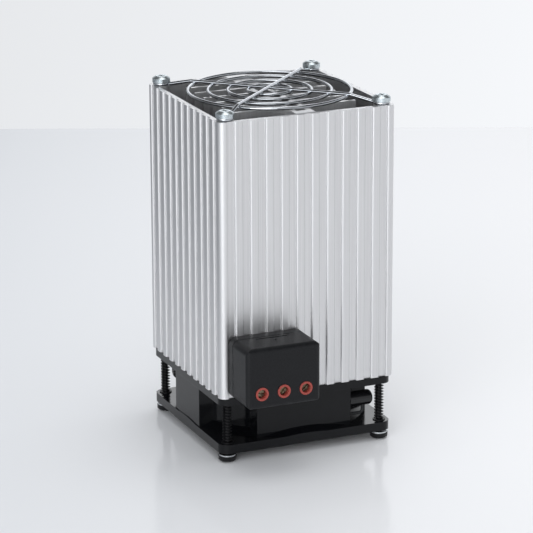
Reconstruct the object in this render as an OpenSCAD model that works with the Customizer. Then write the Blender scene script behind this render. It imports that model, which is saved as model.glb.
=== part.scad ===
// Fan heater for enclosures: ribbed extrusion with a heating pack in its web, wire guard on top,
// terminal box low on the front face and an axial fan below, standing on its screw heads.

/* [Profile] */
// ribs along one face of the extrusion
rib_count = 12; // [10:1:14]
// width of one rib
rib_w = 4; // [3.6:0.1:4.6]
// width of the groove between two ribs
groove_w = 3; // [2.4:0.1:3.4]
// depth of a groove
groove_d = 1; // [0.6:0.1:1.3]
// rounding of the rib edges
rib_edge_r = 0.85; // [0.4:0.05:0.95]
// rounding of the four long corners
corner_r = 3; // [2:0.1:3.5]
// height of the extrusion
profile_h = 120; // [110:1:160]
// wall from rib crest to inner face
wall_t = 2.5; // [2.2:0.1:3.2]
// thickness of the centre web
web_t = 9; // [8:0.1:11]
// fins on each side of the web
fin_count = 6; // [4:1:6]
// distance between two fins
fin_pitch = 10; // [9:0.1:10.5]
// thickness of a fin
fin_t = 1.6; // [1.2:0.1:2.2]
// distance of the fin ends from the centre plane
fin_reach = 28.5; // [24:0.5:31]
// radius of the boss around a screw port
port_boss_r = 3.6; // [3.2:0.1:4.2]

/* [Heating pack] */
// heating stones in the row
stone_count = 5; // [3:1:5]
// height of one stone
stone_h = 15.4; // [12:0.1:15.6]
// width of one stone
stone_w = 24; // [18:0.5:25]
// thickness of one stone
stone_t = 2.4; // [2:0.1:2.6]
// gap between two stones
stone_gap = 0.6; // [0.3:0.1:1]
// thickness of an electrode plate
plate_t = 0.4; // [0.3:0.05:0.6]
// thickness of the insulating film
film_t = 0.2; // [0.1:0.05:0.3]
// thickness of the spring plate
spring_t = 0.8; // [0.5:0.1:1]
// side clearance of the pack in its channel
pack_clear = 0.6; // [0.3:0.1:1]
// reach of the lead tabs beyond the plates
tab_l = 3; // [2:0.5:4]
// height of a lead tab
tab_h = 2; // [1.6:0.1:2.4]

/* [Guard] */
// wire thickness of the guard
wire_d = 1.5; // [1.3:0.1:1.8]
// rings of the guard
ring_count = 4; // [3:1:4]
// radius of the outer ring, to the wire centre
ring_r = 35; // [34:0.1:36]
// distance between two rings
ring_pitch = 8.5; // [8:0.1:9]
// height of the bars above the extrusion, to the wire centre
bar_rise = 3; // [2.8:0.1:4]
// step between the two crossed bars
bar_step = 0.4; // [0.2:0.1:0.8]
// depth of the welds between rings and bars
weld_d = 0.35; // [0.2:0.05:0.5]
// distance of the bar bends beyond the outer ring
bend_out = 1.5; // [1.2:0.1:3]
// pressed height of the eyelets
eyelet_h = 1.3; // [1:0.1:1.4]
// thickness of the pressed neck between an eyelet and its bar
neck_d = 1.1; // [0.9:0.05:1.2]

/* [Screws] */
// thread diameter of the port screws
screw_d = 3.6; // [3:0.1:4]
// head diameter of the port screws
head_d = 7.8; // [7:0.1:8.4]
// head height of the port screws
head_h = 2.7; // [2.4:0.1:3]
// radius of the head dome
dome_r = 6; // [5.5:0.1:8]
// flat on the middle of the dome
dome_flat_d = 4.6; // [4:0.1:5]
// width of the cross recess
recess_w = 0.8; // [0.6:0.1:1]
// length of the cross recess
recess_l = 3.2; // [2.8:0.1:3.6]
// depth of the cross recess
recess_d = 1.3; // [1:0.1:1.5]
// thread length of the guard screws
guard_screw_l = 12; // [8:0.5:16]
// thread length of the base screws in the extrusion
base_grip = 13; // [10:0.5:16]
// swell of a bent wire at its bends
bend_swell = 1.06; // [1.04:0.01:1.1]
// clearance between a screw and a loose hole
hole_clear = 0.35; // [0.2:0.05:0.5]
// thickness of the bright washers
washer_t = 0.6; // [0.5:0.1:0.8]
// diameter of the bright washers
washer_d = 7.4; // [7:0.1:7.8]
// gap between the bright washers and the fan
seat_gap = 1; // [0.6:0.1:1.4]
// diameter of the retaining washers
keeper_d = 5.4; // [5:0.1:6]
// thickness of the retaining washers
keeper_t = 0.4; // [0.3:0.1:0.6]

/* [Fan frame] */
// width of the fan flanges
fan_w = 80; // [79:0.1:80.5]
// height of the fan
fan_h = 25; // [24:0.1:26]
// distance between the screw holes
hole_pitch = 71.5; // [71:0.1:72]
// corner rounding of the flanges
flange_r = 4.5; // [3.5:0.1:5]
// thickness of the lower flange
flange_lo = 4; // [3.4:0.1:4.4]
// thickness of the upper flange
flange_up = 3.4; // [3:0.1:4]
// outer radius of the barrel
barrel_r = 35.8; // [35.4:0.1:36.2]
// wall of the barrel
barrel_t = 1.6; // [1.3:0.1:1.9]
// mouth radius at the upper face
mouth_r = 36.2; // [35.5:0.1:36.4]
// mouth radius at the lower face
intake_r = 38; // [37:0.1:38.6]
// height of the mouth at the lower face
intake_h = 2.6; // [2.2:0.1:2.8]
// radius of the flare on the lower flange, cut by the flange edge
flare_r = 41; // [40.6:0.1:41.4]
// height of the flare
flare_h = 2.4; // [2:0.1:2.6]
// width of the side pads
side_pad_w = 27; // [24:0.5:28]
// setback of the side pads from the flange edge
side_pad_in = 0.4; // [0.2:0.1:0.8]
// width of the front and back pads
face_pad_w = 44; // [42:0.5:45]
// setback of the front and back pads from the flange edge
face_pad_in = 4; // [3.5:0.1:4.4]
// struts between motor plate and barrel
strut_count = 4; // [4:4:8]
// width of a strut
strut_w = 5; // [4:0.1:6]
// thickness of motor plate and struts
plate_h = 3.6; // [3.5:0.1:3.8]
// setback of the motor plate from the lower face
plate_in = 0.5; // [0.3:0.1:0.6]

/* [Motor] */
// outer diameter of the impeller hub
hub_d = 39.4; // [38:0.1:41]
// wall of the impeller hub
hub_t = 2; // [1.6:0.1:2.4]
// axial gap around the impeller hub
hub_gap = 0.8; // [0.6:0.1:1.2]
// setback of the hub from the upper face
hub_in = 1.3; // [1:0.1:1.6]
// blades of the impeller
blade_count = 7; // [5:2:7]
// thickness of a blade
blade_t = 1.4; // [1.2:0.1:1.8]
// curvature radius of a blade
blade_bow_r = 40; // [36:1:60]
// pitch angle of a blade
blade_pitch = 48; // [42:1:52]
// gap between blade tips and barrel
tip_gap = 0.9; // [0.7:0.1:1.2]
// setback of the blades from the hub ends
blade_in = 1.9; // [1.7:0.1:2.4]
// radial thickness of the rotor ring
rotor_t = 3.3; // [2.8:0.1:3.6]
// height of the rotor ring
rotor_h = 12; // [10:0.1:13]
// air gap between rotor and stator
air_gap = 0.4; // [0.35:0.05:0.6]
// shaft diameter
shaft_d = 3; // [2.5:0.1:3.2]
// radial running fit of the shaft
shaft_fit = 0.03; // [0.02:0.01:0.06]
// outer diameter of the bearings
bearing_d = 8; // [7.5:0.1:8.5]
// width of a bearing
bearing_w = 3; // [2.5:0.1:3.5]
// wall of the bearing tube
tube_t = 1; // [0.8:0.1:1.2]
// diameter of the shaft boss in the hub
boss_d = 7; // [6:0.1:7.4]
// height of the shaft boss
boss_h = 1.8; // [1.5:0.1:2.2]
// gap between moving and fixed ends
end_gap = 0.5; // [0.4:0.05:0.7]
// diameter of the shaft clip
clip_d = 5; // [4.6:0.1:5.6]
// thickness of the shaft clip
clip_t = 0.6; // [0.5:0.05:0.8]
// depth of the clip groove
clip_groove = 0.3; // [0.2:0.05:0.4]
// poles of the stator
pole_count = 4; // [4:1:4]
// height of the stator core
core_h = 8; // [6:0.1:9]
// radial thickness of the core hub
core_hub_t = 2; // [1.6:0.1:2.4]
// width of a pole
pole_w = 4; // [3.4:0.1:4.4]
// thickness of a pole shoe
shoe_t = 2.4; // [2:0.1:2.8]
// gap between two pole shoes
shoe_gap = 3; // [2.4:0.1:4]
// wall of a bobbin
bobbin_t = 0.5; // [0.4:0.05:0.6]
// thickness of a winding
winding_t = 1.4; // [1:0.1:1.6]

/* [Leads] */
// lead thickness
lead_d = 1.4; // [1.2:0.1:1.5]
// distance between two leads, centre to centre
lead_pitch = 2.4; // [2:0.1:2.6]
// clearance around a lead in a passage
lead_clear = 0.3; // [0.2:0.05:0.4]
// distance of the leads from the inner front face
lead_setback = 7.7; // [7.5:0.1:8]
// diameter of the passage through the web
web_hole_d = 7.8; // [7.4:0.1:8]
// outer diameter of the grommet
grommet_d = 9; // [8.6:0.1:9.6]
// flange of the grommet beyond its bore
grommet_lip = 1.2; // [0.8:0.1:1.6]
// thickness of the grommet flange
grommet_lip_t = 1; // [0.8:0.1:1.4]
// diameter of the lead sleeves
sleeve_d = 6.6; // [6:0.1:7]
// wall of a lead sleeve
sleeve_t = 1; // [0.8:0.1:1.2]
// length of a lead sleeve
sleeve_l = 11; // [9:0.1:11.5]
// rounding of the sleeve end
sleeve_round = 1.6; // [1.2:0.1:2]
// setback of the sleeves from the flange edge, to the axis
sleeve_in = 7; // [6.6:0.1:7.2]
// height of the sleeves above the middle of the fan
sleeve_up = 1.6; // [1:0.1:2]
// run of the lead inside the pad
pad_run = 4.5; // [4:0.1:5]
// bend radius of a lead
bend_r = 1.5; // [1.2:0.1:1.6]

/* [Terminal box] */
// width of the terminal box
box_w = 33.6; // [32:0.1:35]
// height of the terminal box
box_h = 26.4; // [25:0.1:28]
// depth of the terminal base
base_d = 5.2; // [4.6:0.1:6]
// width of the shadow gap at the seam
seam_w = 0.4; // [0.3:0.1:0.6]
// depth of the shadow gap
seam_in = 0.5; // [0.4:0.1:0.8]
// depth of the terminal cover
cover_d = 14.8; // [14.4:0.1:16]
// distance of the box centre from the centre plane
box_x = 20.2; // [19.5:0.1:20.6]
// height of the box above the end of the extrusion
box_up = 1; // [0:0.1:2]
// rounding of the box corners, seen from the front
box_r = 3; // [2.4:0.1:3.4]
// rounding of the front edges of the cover
front_r = 1.8; // [1.2:0.1:2.4]
// wall of the cover
cover_t = 1.6; // [1.3:0.1:1.8]
// poles of the terminal
terminal_count = 3; // [3:1:3]
// distance between two poles
terminal_pitch = 10; // [9.6:0.1:10.2]
// height of the poles above the box bottom
terminal_up = 6.6; // [6.2:0.1:7]
// outer diameter of the touch-guard sleeves
ring_d = 5.8; // [5.6:0.1:6.2]
// wall of the touch-guard sleeves
ring_t = 0.9; // [0.7:0.1:0.9]
// length of the touch-guard sleeves
ring_l = 3.6; // [3:0.1:3.8]
// rise of the touch-guard sleeves above the cover
ring_proud = 0.3; // [0.1:0.1:0.5]
// width of a clamp
clamp_w = 7; // [6:0.1:7.2]
// height of a clamp
clamp_h = 8; // [7.4:0.1:8.4]
// depth of a clamp
clamp_d = 11; // [10.4:0.1:11.1]
// conductor hole of a clamp
clamp_hole_d = 3.4; // [3:0.1:3.6]
// thread diameter of a clamp screw
clamp_screw_d = 3; // [2.6:0.1:3.2]
// head diameter of a clamp screw
clamp_head_d = 3.6; // [3.3:0.1:3.7]
// head height of a clamp screw
clamp_head_h = 2.4; // [2:0.1:2.6]
// slot width of a clamp screw
slot_w = 0.8; // [0.6:0.1:0.9]
// slot depth of a clamp screw
slot_d = 0.9; // [0.7:0.1:1]
// turn of the slot of each clamp screw
slot_turns = [12, -48, -42]; // [-90:1:90]
// diameter of a conductor entry in the cover
entry_d = 4.4; // [4:0.1:4.6]
// length of the release slot on top
release_l = 14.5; // [12:0.1:16]
// width of the release slot
release_w = 0.8; // [0.6:0.1:1]
// distance of the release slot from the seam
release_in = 1.6; // [1.4:0.1:2.4]
// diameter of the pip on top
pip_d = 1.2; // [1:0.1:1.4]
// depth of the pip
pip_depth = 0.6; // [0.4:0.1:0.8]
// distance of the pip from the release slot
pip_gap = 4; // [3:0.1:5]
// height of the lead passage above the poles
passage_up = 12.4; // [12:0.1:12.6]
// head diameter of the base fixings
fixing_head_d = 5; // [4.6:0.1:5.2]
// head height of the base fixings
fixing_head_h = 1.8; // [1.5:0.1:2]
// thread diameter of the base fixings
fixing_d = 2.9; // [2.5:0.1:3]
// distance of the base fixings from the box centre
fixing_x = 12.4; // [12:0.1:12.6]
// reach of the base fixings behind the wall
fixing_tip = 1.5; // [1:0.1:2]
// width of the earth strap
strap_w = 4.6; // [4.2:0.1:5]
// thickness of the earth strap
strap_t = 0.8; // [0.6:0.1:1]

/* [Hidden] */
$fn = 48;
eps = 0.01;
profile_w = rib_count * rib_w + (rib_count - 1) * groove_w;
rib_pitch = rib_w + groove_w;
half_w = profile_w / 2;
inner_w = profile_w - 2 * wall_t;
hole_at = hole_pitch / 2;
corners = [[-1, -1], [1, -1], [1, 1], [-1, 1]];

box_d = base_d + cover_d + ring_proud;
axis_y = box_d / 2;

z_seat = head_h + washer_t;
z_fan = z_seat + seat_gap;
z_keeper = z_fan + flange_lo;
z_profile = z_fan + fan_h;
z_top = z_profile + profile_h;
cut_h = z_top + head_d;

bore_r = barrel_r - barrel_t;
z_motor = z_fan + plate_in;
z_plate = z_motor + plate_h;
z_hub = z_plate + hub_gap;
z_hub_end = z_profile - hub_in;
z_hub_floor = z_hub_end - hub_t;
z_boss = z_hub_floor - boss_h;
z_tube_end = z_boss - end_gap;
tube_sink = plate_h * 2 / 3;
z_tube = z_plate - tube_sink;
z_clip = z_plate + end_gap;
z_bearing_lo = z_clip + clip_t + end_gap / 2;
z_bearing_hi = z_tube_end - bearing_w;
z_core = (z_bearing_lo + bearing_w + z_bearing_hi) / 2 - core_h / 2;
z_rotor = z_core + (core_h - rotor_h) / 2;
tube_d = bearing_d + 2 * tube_t;
rotor_d = hub_d - 2 * hub_t;
core_d = rotor_d - 2 * rotor_t - 2 * air_gap;
core_hub_r = tube_d / 2 + core_hub_t;
shoe_r = core_d / 2 - shoe_t;
blade_z = z_hub + blade_in;
blade_h = z_hub_end - blade_in - blade_z;
tip_r = bore_r - tip_gap;

z_box = z_profile + box_up;
z_pole = z_box + terminal_up;
z_lead = z_pole + passage_up;
pole_off = [for (i = [0 : terminal_count - 1]) (i - (terminal_count - 1) / 2) * terminal_pitch];
clamp_top = z_pole + clamp_h / 2;
entry_y = -half_w - base_d - clamp_d / 2;

pack_t = stone_t + 2 * plate_t + 2 * film_t;
channel_w = pack_t + spring_t;
pack_x = -channel_w / 2;
pack_h = stone_count * stone_h + (stone_count - 1) * stone_gap;
z_pack = z_lead + web_hole_d;
film_w = stone_w + 2 * film_t;
channel_back = film_w / 2 + pack_clear;
lead_y = -half_w + wall_t + lead_setback;
channel_front = lead_y - web_hole_d / 3;
half_pitch = lead_pitch / 2;

ring_z = z_top + bar_rise - wire_d + weld_d;
eye_r = screw_d / 2 + hole_clear + wire_d / 2;
eye_at = hole_at * sqrt(2);
foot_at = eye_at - head_d / 2 - hole_clear;
bend_at = ring_r + bend_out;
z_eye = z_top + eyelet_h / 2;

sleeve_y = fan_w / 2 - sleeve_in;
z_sleeve = z_fan + fan_h / 2 + sleeve_up;
sleeve_x = face_pad_w / 2;
z_groove = z_plate - lead_d / 2;
coil_x = pole_w / 2 + bobbin_t + winding_t + lead_d / 2;
coil_y = core_hub_r + lead_pitch;
entry_x = sleeve_x + sleeve_l / 2 + sleeve_round;
riser_x = sleeve_x - pad_run;
pad_x = riser_x - lead_pitch;
z_exit = z_keeper + sleeve_d / 2;
lead_bore_d = lead_d + 2 * lead_clear;

// places what is drawn around the fan axis in the frame of the whole object
module placed() translate([0, axis_y, 0]) children();

// repeats a child at the four screw places
module at_corners() for (c = corners) translate([c[0] * hole_at, c[1] * hole_at, 0]) children();

// square with rounded corners
module rounded_rect(w, h, r) {
    square([w, h - 2 * r], center = true);
    square([w - 2 * r, h], center = true);
    for (c = corners) translate([c[0] * (w / 2 - r), c[1] * (h / 2 - r)]) circle(r);
}

// flat tube or disc with a bore
module tube(d, bore, h) {
    difference() {
        cylinder(d = d, h = h);
        translate([0, 0, -h / 2]) cylinder(d = bore, h = 2 * h);
    }
}

// turns a child so that its height runs towards the front
module to_front() rotate([90, 0, 0]) children();

// direction of a run of a lead, how far it turns at a point, and what the bend takes off the runs
function along(p, i) = (p[i + 1] - p[i]) / norm(p[i + 1] - p[i]);
function turn(p, i) = acos(along(p, i - 1) * along(p, i));
function trim(p, i) = i == 0 || i == len(p) - 1 ? 0 : bend_r * tan(turn(p, i) / 2);

// round lead along a list of points, with a bend at each
module lead(p) {
    for (i = [0 : len(p) - 2]) {
        way = along(p, i);
        translate(p[i] + trim(p, i) * way) rotate([0, acos(way[2]), atan2(way[1], way[0])])
            cylinder(d = lead_d, h = norm(p[i + 1] - p[i]) - trim(p, i) - trim(p, i + 1), $fn = 16);
    }
    for (i = [1 : len(p) - 2]) {
        way = along(p, i - 1);
        out = way * cos(turn(p, i)) - along(p, i);
        axis = cross(out, way);
        at = p[i] - trim(p, i) * way - bend_r * out;
        multmatrix([for (k = [0 : 2]) [out[k], way[k], axis[k], at[k]]])
            rotate_extrude(angle = turn(p, i), $fn = 24) translate([bend_r, 0]) circle(d = lead_d, $fn = 16);
    }
}

// straight bores around the runs of a lead, each past its corners
module lead_bores(p) for (i = [0 : len(p) - 2]) {
    way = along(p, i);
    translate(p[i] - way * lead_bore_d / 2) rotate([0, acos(way[2]), atan2(way[1], way[0])])
        cylinder(d = lead_bore_d, h = norm(p[i + 1] - p[i]) + lead_bore_d, $fn = 16);
}

// outline of one groove at the middle of the back face, with rounded rib edges
module groove() {
    translate([-groove_w / 2, half_w - groove_d]) square([groove_w, 2 * groove_d]);
    difference() {
        translate([-groove_w / 2 - rib_edge_r, half_w - rib_edge_r])
            square([groove_w + 2 * rib_edge_r, 2 * rib_edge_r]);
        for (s = [-1, 1]) translate([s * (groove_w / 2 + rib_edge_r), half_w - rib_edge_r])
            circle(rib_edge_r, $fn = 16);
    }
}

// outline of the extrusion: ribbed wall, web, fins and screw ports
module profile_outline() {
    difference() {
        union() {
            difference() {
                rounded_rect(profile_w, profile_w, corner_r);
                square(inner_w, center = true);
            }
            square([web_t, inner_w + wall_t / 2], center = true);
            for (i = [0 : fin_count - 1]) translate([0, (i - (fin_count - 1) / 2) * fin_pitch])
                square([2 * fin_reach, fin_t], center = true);
            for (c = corners) translate([c[0] * hole_at, c[1] * hole_at]) {
                circle(port_boss_r, $fn = 32);
                translate([c[0] * port_boss_r / 2, c[1] * port_boss_r / 2])
                    square(port_boss_r, center = true);
            }
        }
        for (a = [0 : 90 : 270]) rotate(a)
            for (i = [1 : rib_count - 1]) translate([(i - rib_count / 2) * rib_pitch, 0]) groove();
        for (c = corners) translate([c[0] * hole_at, c[1] * hole_at]) circle(d = screw_d, $fn = 32);
        translate([-channel_w / 2, channel_front]) square([channel_w, channel_back - channel_front]);
    }
}

module heatsink_profile() color([0.78, 0.79, 0.8]) placed() difference() {
    translate([0, 0, z_profile]) linear_extrude(profile_h) profile_outline();
    translate([-web_t, lead_y, z_lead]) rotate([0, 90, 0]) cylinder(d = web_hole_d, h = 2 * web_t);
    translate([-box_x, -half_w + 2 * wall_t, z_lead]) to_front() cylinder(d = grommet_d, h = 4 * wall_t);
    for (s = [-1, 1]) translate([-box_x + s * fixing_x, -half_w + 2 * wall_t, z_lead]) to_front()
        cylinder(d = fixing_d, h = 4 * wall_t, $fn = 24);
}

// head with a domed face upwards, its seat at zero
module pan_head() {
    difference() {
        intersection() {
            cylinder(d = head_d, h = head_h);
            translate([0, 0, head_h - sqrt(dome_r * dome_r - dome_flat_d * dome_flat_d / 4)])
                sphere(dome_r, $fn = 64);
        }
        for (a = [0, 90]) rotate(a) translate([-recess_l / 2, -recess_w / 2, head_h - recess_d])
            cube([recess_l, recess_w, 2 * recess_d]);
    }
}

// bar across the guard with both ends bent down to its eyelets, at a height above the extrusion
module guard_bar(rise) {
    drop = rise - wire_d / 2;
    run = foot_at - bend_at;
    translate([-bend_at, 0, z_top + rise]) rotate([0, 90, 0]) cylinder(d = wire_d, h = 2 * bend_at, $fn = 20);
    for (a = [0, 180]) rotate(a) {
        translate([bend_at, 0, z_top + rise]) sphere(d = wire_d * bend_swell, $fn = 20);
        translate([bend_at, 0, z_top + rise]) rotate([0, 90 + atan2(drop, run), 0])
            cylinder(d = wire_d, h = norm([drop, run]), $fn = 20);
        translate([foot_at - wire_d / 8, 0, z_eye]) rotate([0, 90, 0])
            cylinder(d = neck_d, h = eye_at - eye_r - foot_at + wire_d / 8, $fn = 20);
        intersection() {
            translate([eye_at, 0, z_top + wire_d / 2])
                rotate_extrude($fn = 40) translate([eye_r, 0]) circle(d = wire_d, $fn = 20);
            translate([eye_at, 0, z_top]) cylinder(d = 4 * eye_r, h = eyelet_h);
        }
    }
}

module finger_guard() color([0.8, 0.81, 0.83]) placed() {
    for (i = [0 : ring_count - 1]) translate([0, 0, ring_z])
        rotate_extrude($fn = 96) translate([ring_r - i * ring_pitch, 0]) circle(d = wire_d, $fn = 20);
    rotate(45) guard_bar(bar_rise + bar_step / 2);
    rotate(-45) guard_bar(bar_rise - bar_step / 2);
}

module guard_screws() color([0.7, 0.74, 0.75]) placed() at_corners() {
    translate([0, 0, z_top + eyelet_h]) pan_head();
    translate([0, 0, z_top + eyelet_h - guard_screw_l]) cylinder(d = screw_d, h = guard_screw_l, $fn = 32);
}

module base_screws() color([0.06, 0.06, 0.065]) placed() at_corners() {
    translate([0, 0, head_h]) rotate([180, 0, 0]) pan_head();
    translate([0, 0, head_h]) cylinder(d = screw_d, h = z_profile + base_grip - head_h, $fn = 32);
}

module base_washers() color([0.8, 0.81, 0.82]) placed() at_corners()
    translate([0, 0, head_h]) tube(washer_d, screw_d, washer_t);

module retaining_washers() color([0.05, 0.05, 0.055]) placed() at_corners()
    translate([0, 0, z_keeper]) tube(keeper_d, screw_d, keeper_t);

// block of the terminal box behind or in front of the seam
module box_block(depth, inset = 0) to_front() linear_extrude(depth)
    rounded_rect(box_w - 2 * inset, box_h - 2 * inset, box_r - inset);

// places a child at the middle of the box, on the wall of the extrusion
module at_box() translate([-box_x, -half_w, z_box + box_h / 2]) children();

// repeats a child at the poles, on the wall of the extrusion
module at_poles() for (x = pole_off) translate([-box_x + x, -half_w, z_pole]) children();

module terminal_base() color([0.1, 0.1, 0.11]) placed() difference() {
    at_box() {
        box_block(base_d - seam_w);
        box_block(base_d, seam_in);
    }
    translate([-box_x, -half_w + base_d, z_lead]) to_front() cylinder(d = grommet_d, h = 3 * base_d);
    for (s = [-1, 1]) translate([-box_x + s * fixing_x, -half_w + base_d, z_lead]) to_front()
        cylinder(d = fixing_d, h = 3 * base_d, $fn = 24);
}

// outline of the cover, front edges rounded, for a given width across
module cover_outline(w) {
    translate([-w / 2, front_r - cover_d]) square([w, cover_d - front_r]);
    translate([front_r - w / 2, -cover_d]) square([w - 2 * front_r, cover_d]);
    for (s = [-1, 1]) translate([s * (w / 2 - front_r), front_r - cover_d]) circle(front_r);
}

module terminal_cover() color([0.11, 0.11, 0.12]) placed() difference() {
    at_box() translate([0, -base_d, 0]) intersection() {
        box_block(cover_d);
        translate([0, 0, -box_h]) linear_extrude(2 * box_h) cover_outline(box_w);
        rotate([0, 90, 0]) translate([0, 0, -box_w]) linear_extrude(2 * box_w) cover_outline(box_h);
    }
    at_box() translate([0, cover_t - base_d, 0]) to_front() linear_extrude(cover_d)
        rounded_rect(box_w - 2 * cover_t, box_h - 2 * cover_t, box_r - cover_t);
    at_poles() translate([0, -base_d, 0]) to_front() cylinder(d = ring_d, h = 2 * cover_d);
    for (x = pole_off) translate([x - box_x, entry_y, z_box - entry_d / 2])
        cylinder(d = entry_d, h = entry_d / 2 + 2 * cover_t);
    at_box() translate([-release_l / 2, -base_d - release_in - release_w, box_h / 2 - 2 * cover_t])
        cube([release_l, release_w, 4 * cover_t]);
    at_box() translate([0, -base_d - release_in - pip_gap, box_h / 2 - pip_depth])
        cylinder(d = pip_d, h = 2 * pip_depth, $fn = 24);
}

module terminal_sleeves() color([0.78, 0.22, 0.2]) placed() at_poles()
    translate([0, ring_l - box_d, 0]) to_front() tube(ring_d, ring_d - 2 * ring_t, ring_l);

module terminal_clamps() color([0.75, 0.62, 0.3]) placed() at_poles() difference() {
    translate([-clamp_w / 2, -base_d - clamp_d, -clamp_h / 2]) cube([clamp_w, clamp_d, clamp_h]);
    translate([0, -base_d - clamp_d / 2, -clamp_h])
        cylinder(d = clamp_hole_d, h = clamp_h + clamp_screw_d, $fn = 32);
    translate([0, -base_d - clamp_d / 2, 0]) to_front() cylinder(d = clamp_screw_d, h = clamp_d, $fn = 24);
}

module terminal_screws() color([0.72, 0.73, 0.74]) placed() for (i = [0 : terminal_count - 1])
    translate([pole_off[i] - box_x, -half_w - base_d - clamp_d, z_pole]) {
        difference() {
            to_front() cylinder(d = clamp_head_d, h = clamp_head_h, $fn = 32);
            rotate([0, slot_turns[i], 0]) translate([-clamp_head_d, -clamp_head_h - slot_d, -slot_w / 2])
                cube([2 * clamp_head_d, 2 * slot_d, slot_w]);
        }
        translate([0, (clamp_d - clamp_hole_d) / 2, 0]) to_front()
            cylinder(d = clamp_screw_d, h = (clamp_d - clamp_hole_d) / 2, $fn = 24);
    }

module terminal_fixings() color([0.7, 0.71, 0.72]) placed() for (s = [-1, 1]) {
    lift = base_d + (s + 1) / 2 * strap_t;
    translate([-box_x + s * fixing_x, -half_w - lift, z_lead]) to_front()
        cylinder(d = fixing_head_d, h = fixing_head_h, $fn = 32);
    translate([-box_x + s * fixing_x, -half_w + wall_t + fixing_tip, z_lead]) to_front()
        cylinder(d = fixing_d, h = wall_t + fixing_tip + lift, $fn = 24);
}

module earth_strap() color([0.76, 0.64, 0.32]) placed() difference() {
    translate([-box_x + fixing_x - strap_w / 2, -half_w - base_d - strap_t, clamp_top])
        cube([strap_w, strap_t, z_lead + strap_w / 2 - clamp_top]);
    translate([-box_x + fixing_x, -half_w, z_lead]) to_front()
        cylinder(d = fixing_d, h = 2 * base_d, $fn = 24);
}

module lead_grommet() color([0.09, 0.09, 0.09]) placed() {
    translate([-box_x, wall_t - half_w, z_lead]) to_front()
        tube(grommet_d, grommet_d - 2 * grommet_lip, wall_t + base_d);
    translate([-box_x, wall_t - half_w + grommet_lip_t, z_lead]) to_front()
        tube(grommet_d + 2 * grommet_lip, grommet_d - 2 * grommet_lip, grommet_lip_t);
}

// one heating stone after the other, clear of each other
module ptc_stones() color([0.45, 0.42, 0.4]) placed() for (i = [0 : stone_count - 1])
    translate([pack_x + film_t + plate_t, -stone_w / 2, z_pack + i * (stone_h + stone_gap)])
        cube([stone_t, stone_w, stone_h]);

// plate with its lead tab at a height on the side towards the front
module electrode(z) {
    translate([0, -stone_w / 2, z_lead - lead_pitch])
        cube([plate_t, stone_w, z_pack + pack_h - z_lead + lead_pitch]);
    translate([0, -stone_w / 2 - tab_l, z - tab_h / 2]) cube([plate_t, stone_w / 2, tab_h]);
}

module electrode_plates() color([0.8, 0.8, 0.78]) placed() {
    translate([pack_x + film_t, 0, 0]) electrode(z_lead - half_pitch);
    translate([pack_x + film_t + plate_t + stone_t, 0, 0]) electrode(z_lead + half_pitch);
}

module insulating_film() color([0.72, 0.45, 0.12]) placed() difference() {
    translate([pack_x, -film_w / 2, z_pack]) cube([pack_t, film_w, pack_h]);
    translate([pack_x + film_t, -stone_w / 2, z_pack - stone_h])
        cube([pack_t - 2 * film_t, stone_w, pack_h + 2 * stone_h]);
}

module spring_plate() color([0.7, 0.71, 0.72]) placed()
    translate([pack_x + pack_t, -stone_w / 2, z_pack]) cube([spring_t, stone_w, pack_h]);

module heater_leads() color([0.55, 0.12, 0.1]) placed() {
    start_y = -stone_w / 2 - eps;
    left_x = pack_x + film_t + plate_t + lead_d / 2;
    right_x = pack_x + film_t + plate_t + stone_t - lead_d / 2;
    lead([[left_x, start_y - tab_l / 2, z_lead - half_pitch], [left_x, lead_y, z_lead - half_pitch],
        [-box_x - half_pitch, lead_y, z_lead - half_pitch],
        [-box_x - half_pitch, entry_y, z_lead - half_pitch],
        [-box_x + pole_off[0], entry_y, z_lead - half_pitch], [-box_x + pole_off[0], entry_y, clamp_top]]);
    lead([[right_x, start_y - tab_l / 2, z_lead + half_pitch], [right_x, lead_y, z_lead + half_pitch],
        [-box_x + half_pitch, lead_y, z_lead + half_pitch],
        [-box_x + half_pitch, entry_y, z_lead + half_pitch],
        [-box_x + half_pitch, entry_y, clamp_top]]);
}

// part of a fan lead from the stator through the plate, a strut and its sleeve to a height
function fan_run(top) = [[coil_x, -coil_y, z_core + core_h / 2], [coil_x, -coil_y, z_groove],
    [0, -coil_y, z_groove], [0, -sleeve_y, z_groove], [pad_x, -sleeve_y, z_groove],
    [pad_x, -sleeve_y, z_exit], [entry_x, -sleeve_y, z_exit], [entry_x, -sleeve_y, z_sleeve],
    [riser_x, -sleeve_y, z_sleeve], [riser_x, -sleeve_y, top]];

// outline of the fan body between its flanges
module barrel_outline() {
    circle(barrel_r, $fn = 96);
    square([fan_w - 2 * side_pad_in, side_pad_w], center = true);
    square([face_pad_w, fan_w - 2 * face_pad_in], center = true);
}

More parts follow.
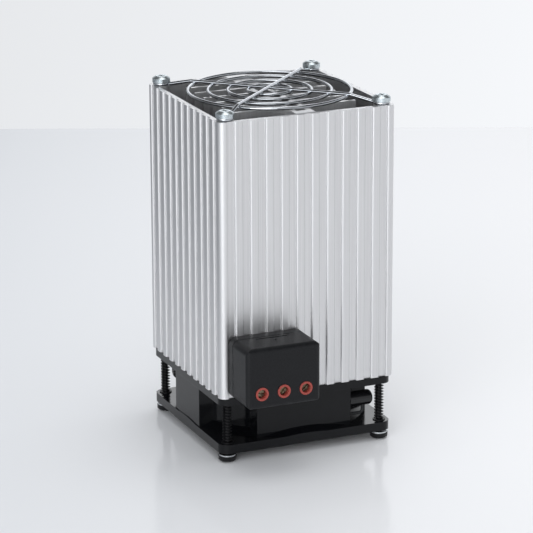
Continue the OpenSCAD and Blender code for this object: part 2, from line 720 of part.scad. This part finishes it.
module fan_frame() color([0.12, 0.12, 0.13]) placed() difference() {
    union() {
        difference() {
            translate([0, 0, z_fan]) union() {
                linear_extrude(flange_lo) rounded_rect(fan_w, fan_w, flange_r);
                linear_extrude(fan_h) barrel_outline();
                translate([0, 0, flange_lo]) intersection() {
                    cylinder(r1 = flare_r, r2 = barrel_r, h = flare_h, $fn = 96);
                    linear_extrude(flare_h) rounded_rect(fan_w, fan_w, flange_r);
                }
                translate([0, 0, fan_h - flange_up]) linear_extrude(flange_up)
                    rounded_rect(fan_w, fan_w, flange_r);
            }
            translate([0, 0, z_fan - eps]) cylinder(r = bore_r, h = fan_h + 2 * eps, $fn = 96);
            translate([0, 0, z_fan - eps]) cylinder(r1 = intake_r, r2 = bore_r, h = intake_h, $fn = 96);
            translate([0, 0, z_profile + eps - flange_up])
                cylinder(r1 = bore_r, r2 = mouth_r, h = flange_up, $fn = 96);
        }
        translate([0, 0, z_motor]) linear_extrude(plate_h) {
            circle(d = hub_d, $fn = 96);
            for (i = [0 : strut_count - 1]) rotate(90 + i * 360 / strut_count)
                translate([0, -strut_w / 2]) square([barrel_r, strut_w]);
        }
    }
    at_corners() translate([0, 0, z_fan - fan_h])
        cylinder(d = screw_d + 2 * hole_clear, h = 3 * fan_h, $fn = 32);
    translate([0, 0, z_tube]) cylinder(d = tube_d, h = fan_h, $fn = 32);
    for (a = [0, 180]) rotate(a) lead_bores(fan_run(z_profile + eps));
}

module bearing_tube() color([0.74, 0.62, 0.32]) placed()
    translate([0, 0, z_tube]) tube(tube_d, bearing_d, z_tube_end - z_tube);

module fan_bearings() color([0.66, 0.67, 0.68]) placed() for (z = [z_bearing_lo, z_bearing_hi])
    translate([0, 0, z]) tube(bearing_d, shaft_d + 2 * shaft_fit, bearing_w);

module stator_core() color([0.4, 0.41, 0.42]) placed()
    translate([0, 0, z_core]) linear_extrude(core_h) difference() {
    union() {
        circle(core_hub_r);
        for (i = [0 : pole_count - 1]) rotate(i * 360 / pole_count) translate([0, -pole_w / 2])
            square([core_d / 2 - shoe_t / 2, pole_w]);
        difference() {
            circle(d = core_d, $fn = 64);
            circle(shoe_r, $fn = 64);
            for (i = [0 : pole_count - 1]) rotate((i + 1 / 2) * 360 / pole_count)
                translate([0, -shoe_gap / 2]) square([core_d, shoe_gap]);
        }
    }
    circle(d = tube_d);
}

// sleeve around a pole, from its own wall outwards
module pole_sleeve(inner, wall) {
    half = pole_w / 2 + inner + wall;
    reach = sqrt(shoe_r * shoe_r - half * half) - core_hub_r;
    for (i = [0 : pole_count - 1]) rotate(i * 360 / pole_count)
        translate([core_hub_r, 0, z_core + core_h / 2]) difference() {
            translate([inner / 2, -half, -core_h / 2 - inner - wall])
                cube([reach - inner / 2, 2 * half, core_h + 2 * inner + 2 * wall]);
            translate([-reach, -pole_w / 2 - inner, -core_h / 2 - inner])
                cube([3 * reach, pole_w + 2 * inner, core_h + 2 * inner]);
        }
}

module coil_bobbins() color([0.85, 0.84, 0.78]) placed() pole_sleeve(0, bobbin_t);

module stator_windings() color([0.66, 0.36, 0.16]) placed() pole_sleeve(bobbin_t, winding_t);

module fan_shaft() color([0.72, 0.73, 0.74]) placed() difference() {
    translate([0, 0, z_clip - end_gap / 2])
        cylinder(d = shaft_d, h = z_hub_floor + hub_t / 2 - z_clip + end_gap / 2, $fn = 32);
    translate([0, 0, z_clip]) tube(2 * shaft_d, shaft_d - 2 * clip_groove, clip_t);
}

module shaft_clip() color([0.6, 0.61, 0.62]) placed()
    translate([0, 0, z_clip]) tube(clip_d, shaft_d - 2 * clip_groove, clip_t);

module rotor_ring() color([0.5, 0.51, 0.52]) placed()
    translate([0, 0, z_rotor]) tube(rotor_d, rotor_d - 2 * rotor_t, rotor_h, $fn = 64);

// bowed blade across the space between hub and barrel
module blade() {
    intersection() {
        translate([0, 0, blade_z]) rotate(180) difference() {
            cylinder(r = tip_r, h = blade_h, $fn = 96);
            translate([0, 0, -blade_h]) cylinder(d = hub_d - hub_t, h = 3 * blade_h, $fn = 64);
        }
        translate([0, 0, blade_z + blade_h / 2]) rotate([blade_pitch, 0, 0]) translate([0, 0, -blade_bow_r])
            rotate([0, 90, 0]) difference() {
                cylinder(r = blade_bow_r + blade_t / 2, h = fan_w, $fn = 96);
                cylinder(r = blade_bow_r - blade_t / 2, h = fan_w, $fn = 96);
            }
        translate([0, -fan_w / 2, 0]) cube([fan_w, fan_w, z_top]);
    }
}

module impeller() color([0.1, 0.1, 0.11]) placed() difference() {
    union() {
        difference() {
            translate([0, 0, z_hub]) cylinder(d = hub_d, h = z_hub_end - z_hub, $fn = 64);
            translate([0, 0, z_hub - hub_t]) cylinder(d = rotor_d, h = z_hub_floor - z_hub + hub_t, $fn = 64);
        }
        translate([0, 0, z_boss]) cylinder(d = boss_d, h = boss_h + hub_t / 2);
        for (i = [0 : blade_count - 1]) rotate((i + 1 / 2) * 360 / blade_count) blade();
    }
    translate([0, 0, z_boss - hub_t]) cylinder(d = shaft_d, h = boss_h + hub_t * 3 / 2, $fn = 32);
}

// closed cap with a rounded end, its open end at zero and a lead hole below
module sleeve_cap() {
    difference() {
        rotate([0, 90, 0]) rotate_extrude() {
            square([sleeve_d / 2, sleeve_l - sleeve_round]);
            square([sleeve_d / 2 - sleeve_round, sleeve_l]);
            translate([sleeve_d / 2 - sleeve_round, sleeve_l - sleeve_round]) intersection() {
                circle(sleeve_round, $fn = 32);
                square(sleeve_round);
            }
        }
        translate([-sleeve_t, 0, 0]) rotate([0, 90, 0]) cylinder(d = sleeve_d - 2 * sleeve_t, h = sleeve_l);
        translate([entry_x - sleeve_x, 0, -sleeve_d]) cylinder(d = lead_bore_d, h = sleeve_d, $fn = 16);
    }
}

module lead_sleeves() color([0.04, 0.04, 0.045]) placed() for (a = [0, 180]) rotate(a)
    translate([sleeve_x, -sleeve_y, z_sleeve]) sleeve_cap();

module fan_leads() color([0.05, 0.05, 0.06]) placed() {
    plenum_x = fin_reach + lead_pitch;
    lead(concat(fan_run(z_lead - half_pitch), [[-box_x + half_pitch, -sleeve_y, z_lead - half_pitch],
        [-box_x + half_pitch, entry_y + lead_pitch, z_lead - half_pitch],
        [-box_x + half_pitch, entry_y + lead_pitch, clamp_top]]));
    back = [for (p = fan_run(z_lead + half_pitch)) [-p[0], -p[1], p[2]]];
    lead(concat(back, [[-plenum_x, sleeve_y, z_lead + half_pitch], [-plenum_x, lead_y, z_lead + half_pitch],
        [-box_x - half_pitch, lead_y, z_lead + half_pitch],
        [-box_x - half_pitch, entry_y - lead_pitch, z_lead + half_pitch],
        [-box_x + pole_off[0], entry_y - lead_pitch, z_lead + half_pitch],
        [-box_x + pole_off[0], entry_y - lead_pitch, clamp_top]]));
}

heatsink_profile();
finger_guard();
guard_screws();
terminal_base();
terminal_cover();
terminal_sleeves();
terminal_screws();
terminal_clamps();
terminal_fixings();
earth_strap();
lead_grommet();
heater_leads();
ptc_stones();
electrode_plates();
insulating_film();
spring_plate();
fan_frame();
bearing_tube();
fan_bearings();
stator_core();
coil_bobbins();
stator_windings();
fan_shaft();
shaft_clip();
rotor_ring();
impeller();
base_screws();
base_washers();
retaining_washers();
lead_sleeves();
fan_leads();
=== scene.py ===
import math

import bmesh
import bpy
from mathutils import Matrix, Vector


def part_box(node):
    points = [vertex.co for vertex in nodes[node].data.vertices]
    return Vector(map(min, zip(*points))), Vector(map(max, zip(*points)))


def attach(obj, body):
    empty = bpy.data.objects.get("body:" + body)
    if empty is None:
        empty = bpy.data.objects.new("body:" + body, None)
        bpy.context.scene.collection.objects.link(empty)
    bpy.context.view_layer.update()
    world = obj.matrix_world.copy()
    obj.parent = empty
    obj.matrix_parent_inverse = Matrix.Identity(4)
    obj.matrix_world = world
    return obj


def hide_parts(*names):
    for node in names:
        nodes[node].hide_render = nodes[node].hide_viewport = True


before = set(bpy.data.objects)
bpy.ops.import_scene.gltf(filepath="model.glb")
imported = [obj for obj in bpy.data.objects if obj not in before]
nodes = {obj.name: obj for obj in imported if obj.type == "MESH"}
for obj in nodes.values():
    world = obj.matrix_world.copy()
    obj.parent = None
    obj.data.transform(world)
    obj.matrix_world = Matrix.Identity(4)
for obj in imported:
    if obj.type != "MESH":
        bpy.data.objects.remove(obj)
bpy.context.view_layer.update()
scene = bpy.context.scene
scene.view_settings.view_transform = "Standard"
MM = 0.001


# Viewpoint of the photograph: a long lens a good metre away, looking down on
# the corner beside the terminal box, in a square picture.
PICTURE_PX = 533
FOCAL_PX = 2790.35
SENSOR = 36.0
AZIMUTH = math.radians(-23.438)
ELEVATION = math.radians(16.649)
ROLL = math.radians(-0.208)
DISTANCE = 1.21192
AIM = Vector((-2.91, 7.59, 73.29)) * MM

turn = (Matrix.Rotation(AZIMUTH, 4, "Z") @ Matrix.Rotation(math.pi / 2 - ELEVATION, 4, "X")
        @ Matrix.Rotation(ROLL, 4, "Z"))
lens = bpy.data.cameras.new("photo_view")
lens.sensor_width = SENSOR
lens.lens = SENSOR * FOCAL_PX / PICTURE_PX
lens.clip_start = 0.05
camera = bpy.data.objects.new("photo_view", lens)
camera.matrix_world = Matrix.Translation(AIM + turn.to_3x3() @ Vector((0, 0, DISTANCE))) @ turn
scene.collection.objects.link(camera)
scene.camera = camera


# Studio: a white polished table top that ends a good half metre behind the
# heater, in front of an evenly lit wall that falls off towards the left.
TABLE_END_PX = 138.5
TABLE_HALF = 3.0
TABLE_NEAR = -0.6
GRAIN_LOW = 0.3
GRAIN_HIGH = 0.7
GRAIN_DETAIL = 3.0


def linear(code):
    """The linear colour of an sRGB hex value."""
    parts = [int(code[i:i + 2], 16) / 255 for i in (1, 3, 5)]
    return tuple(c / 12.92 if c <= 0.04045 else ((c + 0.055) / 1.055) ** 2.4 for c in parts) + (1.0,)


def add(tree, kind, inputs=None, **settings):
    """A new node with its settings; an input that is a socket is linked, any other is set."""
    made = tree.nodes.new(kind)
    for name, value in settings.items():
        setattr(made, name, value)
    for name, value in (inputs or {}).items():
        if isinstance(value, bpy.types.NodeSocket):
            tree.links.new(value, made.inputs[name])
        else:
            made.inputs[name].default_value = value
    return made


def moulded(name, dark, light, grain, relief, rough, stretch=(1, 1, 1), edge=0.0, **shader):
    """A finish whose colour, gloss and relief follow one grain, of a size and depth in metres; edge rounds corners."""
    material = bpy.data.materials.new(name)
    material.use_nodes = True
    tree = material.node_tree
    skin = tree.nodes["Principled BSDF"]
    for socket, value in shader.items():
        skin.inputs[socket.replace("_", " ")].default_value = value
    place = add(tree, "ShaderNodeTexCoord").outputs["Object"]
    cells = add(tree, "ShaderNodeMapping", {"Vector": place, "Scale": [s / grain for s in stretch]})
    noise = add(tree, "ShaderNodeTexNoise", {"Vector": cells.outputs[0], "Scale": 1.0,
                                            "Detail": GRAIN_DETAIL})
    tint = add(tree, "ShaderNodeValToRGB", {"Fac": noise.outputs["Fac"]})
    tint.color_ramp.elements[0].position = GRAIN_LOW
    tint.color_ramp.elements[0].color = linear(dark)
    tint.color_ramp.elements[1].position = GRAIN_HIGH
    tint.color_ramp.elements[1].color = linear(light)
    gloss = add(tree, "ShaderNodeMapRange", {"Value": noise.outputs["Fac"], "From Min": GRAIN_LOW,
                                             "From Max": GRAIN_HIGH, "To Min": rough[0], "To Max": rough[1]})
    bump = add(tree, "ShaderNodeBump", {"Height": noise.outputs["Fac"], "Distance": relief})
    if edge:
        tree.links.new(add(tree, "ShaderNodeBevel", {"Radius": edge}).outputs["Normal"], bump.inputs["Normal"])
    tree.links.new(tint.outputs["Color"], skin.inputs["Base Color"])
    tree.links.new(gloss.outputs["Result"], skin.inputs["Roughness"])
    tree.links.new(bump.outputs["Normal"], skin.inputs["Normal"])
    return material


# Polished white laminate, with a soft mirror image of what stands on it. Its colour
# holds painted shade: greyer towards the left, where the light falls off, and darkest far to the left.
PAINTED_SHADE_FAR = "#8F9297"
PAINTED_SHADE_LEFT = "#D6D8DB"
PAINTED_LIGHT_RIGHT = "#EDEDEE"
FADE_FAR = -0.4
FADE_LEFT = -0.16
FADE_RIGHT = 0.16
laminate = moulded("white_laminate", PAINTED_SHADE_LEFT, PAINTED_LIGHT_RIGHT, 2 * MM, 0.001 * MM, (0.12, 0.15),
                   Specular_IOR_Level=0.065)
back = turn.to_3x3() @ Vector((0, 0, 1))
lift = turn.to_3x3() @ Vector((0, 1, 0))
sight = lift * (TABLE_END_PX / FOCAL_PX) - back
reach = camera.location.z / -sight.z
ahead = Vector((sight.x, sight.y, 0)).normalized()
aside = Vector((ahead.y, -ahead.x, 0))
foot = Vector((camera.location.x, camera.location.y, 0))
far = Vector((sight.x, sight.y, 0)).length * reach
corners = [foot + ahead * a + aside * s for a, s in
           ((TABLE_NEAR, -TABLE_HALF), (TABLE_NEAR, TABLE_HALF), (far, TABLE_HALF), (far, -TABLE_HALF))]
sheet = bpy.data.meshes.new("table_top")
sheet.from_pydata(corners, [], [(0, 1, 2, 3)])
sheet.materials.append(laminate)
table = bpy.data.objects.new("table_top", sheet)
scene.collection.objects.link(table)

# Painted shade and light: the laminate's colour follows this fall-off across the table instead of the grain, darker to
# the left and lighter to the right.
tree = laminate.node_tree
across = add(tree, "ShaderNodeVectorMath", {0: add(tree, "ShaderNodeTexCoord").outputs["Object"], 1: aside},
             operation="DOT_PRODUCT")
fade = add(tree, "ShaderNodeMapRange", {"Value": across.outputs["Value"], "From Min": FADE_FAR,
                                        "From Max": FADE_RIGHT})
painted_falloff = next(n for n in tree.nodes if n.type == "VALTORGB")
painted_falloff.color_ramp.elements[0].position = (FADE_LEFT - FADE_FAR) / (FADE_RIGHT - FADE_FAR)
painted_falloff.color_ramp.elements[1].position = 1.0
painted_falloff.color_ramp.elements.new(0.0).color = linear(PAINTED_SHADE_FAR)
tree.links.new(fade.outputs["Result"], painted_falloff.inputs["Fac"])

# The room falls off towards the left, the corner behind it and the right, and is
# brightest in front on the left. Gloss mirrors a dark ceiling and a lamp behind.
DIM_BACK = (-0.727, 0.687, 0.0)
DIM_LEFT = (-0.92, 0.39, 0.0)
DIM_RIGHT = (0.8, -0.6, 0.0)
BRIGHT_FRONT = (-0.89, -0.45, 0.0)
CHANGES = ((DIM_BACK, 0.06, 0.4), (DIM_LEFT, 0.15, 0.3), (DIM_RIGHT, 0.0, 0.6), (BRIGHT_FRONT, 0.6, 3.3))
ROOM_LEVEL = 1.09
CEILING_FROM = 0.35
CEILING_FULL = 0.55
CEILING_DARK = 0.95
LAMP_RISE = math.radians(26)
LAMP_EDGE = 0.965
LAMP_CORE = 0.998
LAMP_GLARE = 1.35
LAMP_BEHIND = ahead * math.cos(LAMP_RISE) + Vector((0, 0, math.sin(LAMP_RISE)))
room = bpy.data.worlds.new("studio")
room.use_nodes = True
tree = room.node_tree
ray = add(tree, "ShaderNodeTexCoord").outputs["Generated"]
level = ROOM_LEVEL
for toward, start, rest in CHANGES:
    nearness = add(tree, "ShaderNodeVectorMath", {0: ray, 1: toward}, operation="DOT_PRODUCT")
    fall = add(tree, "ShaderNodeMapRange", {"Value": nearness.outputs["Value"], "From Min": start, "From Max": 1.0,
                                            "To Min": 1.0, "To Max": rest})
    level = add(tree, "ShaderNodeMath", {0: level, 1: fall.outputs["Result"]}, operation="MULTIPLY").outputs[0]
height = add(tree, "ShaderNodeSeparateXYZ", {"Vector": ray}).outputs["Z"]
overhead = add(tree, "ShaderNodeMapRange", {"Value": height, "From Min": CEILING_FROM, "From Max": CEILING_FULL,
                                            "To Max": CEILING_DARK})
nearness = add(tree, "ShaderNodeVectorMath", {0: ray, 1: LAMP_BEHIND}, operation="DOT_PRODUCT")
glare = add(tree, "ShaderNodeMapRange", {"Value": nearness.outputs["Value"], "From Min": LAMP_EDGE,
                                         "From Max": LAMP_CORE, "To Max": LAMP_GLARE})
change = add(tree, "ShaderNodeMath", {0: glare.outputs["Result"], 1: overhead.outputs["Result"]}, operation="SUBTRACT")
mirrored = add(tree, "ShaderNodeMath", {0: add(tree, "ShaderNodeLightPath").outputs["Is Glossy Ray"],
                                        1: change.outputs[0]}, operation="MULTIPLY")
kept = add(tree, "ShaderNodeMath", {0: 1.0, 1: mirrored.outputs[0]}, operation="ADD")
level = add(tree, "ShaderNodeMath", {0: level, 1: kept.outputs[0]}, operation="MULTIPLY").outputs[0]
wall = tree.nodes["Background"]
wall.inputs["Color"].default_value = linear("#FAFCFF")
tree.links.new(level, wall.inputs["Strength"])
scene.world = room


# Two soft boxes: a large one in front on the left, which draws the bright lines on
# the ribs, and a small one above, which lights the top and the table.
KEY_PLACE = (-1.05, -1.45, 0.5)
KEY_AIM = (0, 0, 0.08)
KEY_SIZE = (1.5, 1.1)
KEY_WATTS = 6.0
TOP_PLACE = (0.15, 0.1, 1.6)
TOP_AIM = (0, 0, 0)
TOP_SIZE = (0.8, 0.8)
TOP_WATTS = 4.5


def softbox(name, place, target, size, watts):
    """A soft lamp that faces a point."""
    lamp = bpy.data.lights.new(name, "AREA")
    lamp.shape = "RECTANGLE"
    lamp.size, lamp.size_y = size
    lamp.energy = watts
    lamp_object = bpy.data.objects.new(name, lamp)
    lamp_object.location = place
    lamp_object.rotation_euler = (Vector(target) - Vector(place)).to_track_quat("-Z", "Y").to_euler()
    scene.collection.objects.link(lamp_object)


softbox("key_lamp", KEY_PLACE, KEY_AIM, KEY_SIZE, KEY_WATTS)
softbox("top_lamp", TOP_PLACE, TOP_AIM, TOP_SIZE, TOP_WATTS)


def dress(material, slot, *names):
    """Gives CAD nodes their finish."""
    for name in names:
        nodes[name].data.materials.clear()
        nodes[name].data.materials.append(material)


# Heat sink: one square length of ribbed extrusion, natural anodised, sawn off
# square at both ends. The die leaves fine lines along it and a satin sheen.
extrusion = moulded("anodised_aluminium", "#DBDBDC", "#E6E6E7", 0.5 * MM, 0.003 * MM, (0.37, 0.45),
                    stretch=(1, 1, 0.006), Metallic=1.0)
dress(extrusion, "anodised_aluminium", "heatsink_profile")


# Finger guard: four rings of hard-drawn steel wire welded on two crossed bars,
# then plated bright all over, with flattened eyelets under the screws.
bright_wire = moulded("bright_plated_wire", "#C6C9CE", "#D8DCE0", 3 * MM, 0.001 * MM, (0.02, 0.05), Metallic=1.0)
dress(bright_wire, "plated_wire", "finger_guard")


# Guard screws and fixings: rolled pan heads of zinc-plated steel, bluish and
# a little cloudy, with a pressed cross recess.
zinc = moulded("blue_zinc_plate", "#BEC8CC", "#D6DEE1", 1.2 * MM, 0.003 * MM, (0.24, 0.36), Metallic=0.9)
dress(zinc, "zinc_steel", "guard_screws", "terminal_fixings", "spring_plate", "fan_shaft", "fan_bearings",
      "shaft_clip")


# Terminal box: two halves of glass-filled polyamide, moulded in a spark-eroded
# tool, so that the black is dull and finely grained.
polyamide = moulded("black_polyamide", "#090A0D", "#17181B", 0.6 * MM, 0.04 * MM, (0.36, 0.46),
                    edge=0.5 * MM, Specular_IOR_Level=0.27)
dress(polyamide, "black_plastic", "terminal_base", "terminal_cover")


# Touch guards: three red polyamide sleeves, injection moulded and pressed into
# the front of the cover. They are smooth and a little shiny at the rim.
red_sleeve = moulded("red_polyamide", "#8F3931", "#A3473E", 0.4 * MM, 0.01 * MM, (0.36, 0.46))
dress(red_sleeve, "red_plastic", "terminal_sleeves")


# Clamp screws: slotted steel with yellow passivated zinc, set deep in the sleeves.
# Their colour is darkened with painted shade, the shade of the deep sleeves around them; it is patchy with the grain,
# and the metal shows a few glints.
yellow_zinc = moulded("yellow_zinc_plate", "#4C4238", "#988A74", 1.1 * MM, 0.006 * MM, (0.22, 0.36), Metallic=1.0)
dress(yellow_zinc, "zinc_steel", "terminal_screws")


# Clamps, earth strip and bearing tube: drawn, punched or turned brass, which has
# tarnished a little, so the gloss is uneven.
brass = moulded("tarnished_brass", "#9C8248", "#B79A57", 1.5 * MM, 0.004 * MM, (0.28, 0.42), Metallic=1.0)
dress(brass, "brass_parts", "terminal_clamps", "earth_strap", "bearing_tube")


# Heating pack: sintered stones between two contact plates, wrapped in amber
# film and pressed against the centre web.
ceramic = moulded("sintered_titanate", "#5E5753", "#746B65", 0.8 * MM, 0.01 * MM, (0.7, 0.82))
dress(ceramic, "stone_ceramic", "ptc_stones")
contact = moulded("rolled_aluminium_sheet", "#C4C5C7", "#D2D3D5", 0.6 * MM, 0.003 * MM, (0.3, 0.4),
                  stretch=(1, 1, 0.05), Metallic=1.0)
dress(contact, "electrode_aluminium", "electrode_plates")
amber = moulded("polyimide_film", "#A8641C", "#BC7726", 2 * MM, 0.004 * MM, (0.18, 0.28), Coat_Weight=0.3)
dress(amber, "amber_film", "insulating_film")


# Leads, sleeves and grommet: the leads have extruded silicone insulation, dull and
# soft. The sleeves and the grommet are smooth black rubber with a clear shine.
silicone = moulded("black_silicone", "#17181A", "#202124", 0.8 * MM, 0.006 * MM, (0.45, 0.58))
dress(silicone, "lead_insulation", "heater_leads", "fan_leads")
rubber = moulded("black_rubber", "#0E0E10", "#141416", 2 * MM, 0.001 * MM, (0.16, 0.22))
dress(rubber, "black_rubber", "lead_grommet", "lead_sleeves")


# Fan: frame and impeller of black glass-filled polyester from a polished tool. It
# looks deep black from above and mirrors the wall at a flat angle.
polyester = moulded("black_polyester", "#08090B", "#0F1013", 0.7 * MM, 0.002 * MM, (0.1, 0.18),
                    edge=0.3 * MM, Specular_IOR_Level=0.18, Coat_Weight=0.16, Coat_Roughness=0.05)
dress(polyester, "fan_plastic", "fan_frame", "impeller")


# Motor: a core of stacked steel sheets and a pressed rotor ring, ivory bobbins and
# coils of enamelled copper wire, all hidden in the hub.
lamination = moulded("electrical_steel", "#77797C", "#8C8E91", 0.5 * MM, 0.01 * MM, (0.35, 0.5),
                     stretch=(0.05, 0.05, 1), Metallic=1.0)
dress(lamination, "core_steel", "stator_core", "rotor_ring")
bobbin = moulded("ivory_polyamide", "#CFCBBC", "#DAD6C8", 0.8 * MM, 0.008 * MM, (0.45, 0.55))
dress(bobbin, "bobbin_plastic", "coil_bobbins")
enamel = moulded("enamelled_copper", "#8C4A22", "#A55B2C", 0.3 * MM, 0.03 * MM, (0.25, 0.36),
                 stretch=(0.2, 0.2, 1), Metallic=0.9)
dress(enamel, "copper_wire", "stator_windings")


# Base screws: long black self-tapping screws with a coarse rolled thread; they
# hold the fan under the extrusion, and their heads are the feet.
SCREW_ROOT = 1.05 * MM
SCREW_CREST = 2.1 * MM
SHANK_R = 1.86 * MM
HOLE_PITCH = 71.5 * MM
THREAD_PITCH = 1.31 * MM
THREAD_THIN = 0.6
THREAD_END = 2 * MM
TURN_STEPS = 24
WELD = 0.001 * MM
TOUCH = 0.01 * MM
blackened = moulded("black_oxide_steel", "#0B0B0D", "#131316", 0.6 * MM, 0.004 * MM, (0.34, 0.46),
                    Specular_IOR_Level=0.3)
dress(blackened, "black_steel", "base_screws", "retaining_washers")

# Washers on the heads: stamped steel with clear bright zinc, which mirrors the
# table as a thin light ring above each foot.
clear_zinc = moulded("clear_zinc_plate", "#D3D7DA", "#E3E6E8", 1.5 * MM, 0.003 * MM, (0.16, 0.26), Metallic=1.0)
dress(clear_zinc, "zinc_steel", "base_washers")

low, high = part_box("base_washers")
axes = [Vector((sx * HOLE_PITCH / 2, (low.y + high.y + sy * HOLE_PITCH) / 2, 0))
        for sx in (-1, 1) for sy in (-1, 1)]
shape = bmesh.new()
shape.from_mesh(nodes["base_screws"].data)
bmesh.ops.remove_doubles(shape, verts=shape.verts, dist=WELD)
for vert in shape.verts:
    axis = min(axes, key=lambda a: (vert.co.xy - a.xy).length)
    arm = vert.co.xy - axis.xy
    if vert.co.z > low.z - TOUCH and 0 < arm.length < SHANK_R:
        vert.co.xy = axis.xy + arm * (SCREW_ROOT / arm.length)
screw_mesh = bpy.data.meshes.new("threaded_screws")
shape.to_mesh(screw_mesh)
shape.free()
screw_mesh.materials.append(blackened)
screws = bpy.data.objects.new("threaded_screws", screw_mesh)
scene.collection.objects.link(screws)
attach(screws, "housing")
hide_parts("base_screws")

thread_low = low.z
thread_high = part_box("fan_frame")[1].z - THREAD_END
starts = bpy.data.meshes.new("screw_threads")
starts.from_pydata([a + Vector((0, 0, thread_low)) for a in axes], [], [])
threads = bpy.data.objects.new("screw_threads", starts)
scene.collection.objects.link(threads)
winding = bpy.data.node_groups.new("rolled_thread", "GeometryNodeTree")
winding.interface.new_socket("Geometry", in_out="INPUT", socket_type="NodeSocketGeometry")
pitch_in = winding.interface.new_socket("Turns", in_out="INPUT", socket_type="NodeSocketFloat")
height_in = winding.interface.new_socket("Height", in_out="INPUT", socket_type="NodeSocketFloat")
root_in = winding.interface.new_socket("Radius", in_out="INPUT", socket_type="NodeSocketFloat")
ridge_in = winding.interface.new_socket("Ridge", in_out="INPUT", socket_type="NodeSocketFloat")
winding.interface.new_socket("Geometry", in_out="OUTPUT", socket_type="NodeSocketGeometry")
given = add(winding, "NodeGroupInput")
helix = add(winding, "GeometryNodeCurveSpiral", {"Resolution": TURN_STEPS, "Rotations": given.outputs["Turns"],
                                                 "Start Radius": given.outputs["Radius"],
                                                 "End Radius": given.outputs["Radius"],
                                                 "Height": given.outputs["Height"]})
upright = add(winding, "GeometryNodeSetCurveNormal", {"Curve": helix.outputs[0]}, mode="Z_UP")
ridge = add(winding, "GeometryNodeCurvePrimitiveCircle", {"Resolution": 4, "Radius": given.outputs["Ridge"]})
thin = add(winding, "GeometryNodeTransform", {"Geometry": ridge.outputs[0], "Scale": (1.0, THREAD_THIN, 1.0)})
swept = add(winding, "GeometryNodeCurveToMesh", {"Curve": upright.outputs[0], "Profile Curve": thin.outputs[0],
                                                 "Fill Caps": True})
dots = add(winding, "GeometryNodeMeshToPoints", {"Mesh": given.outputs["Geometry"]})
copies = add(winding, "GeometryNodeInstanceOnPoints", {"Points": dots.outputs[0], "Instance": swept.outputs[0]})
solid = add(winding, "GeometryNodeRealizeInstances", {"Geometry": copies.outputs[0]})
painted = add(winding, "GeometryNodeSetMaterial", {"Geometry": solid.outputs[0], "Material": blackened})
add(winding, "NodeGroupOutput", {"Geometry": painted.outputs[0]})
modifier = threads.modifiers.new("rolled_thread", "NODES")
modifier.node_group = winding
modifier[pitch_in.identifier] = (thread_high - thread_low) / THREAD_PITCH
modifier[height_in.identifier] = thread_high - thread_low
modifier[root_in.identifier] = (SCREW_ROOT + SCREW_CREST) / 2
modifier[ridge_in.identifier] = (SCREW_CREST - SCREW_ROOT) / 2
rolled = bpy.data.meshes.new_from_object(threads.evaluated_get(bpy.context.evaluated_depsgraph_get()))
threads.modifiers.remove(modifier)
threads.data = rolled
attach(threads, "housing")
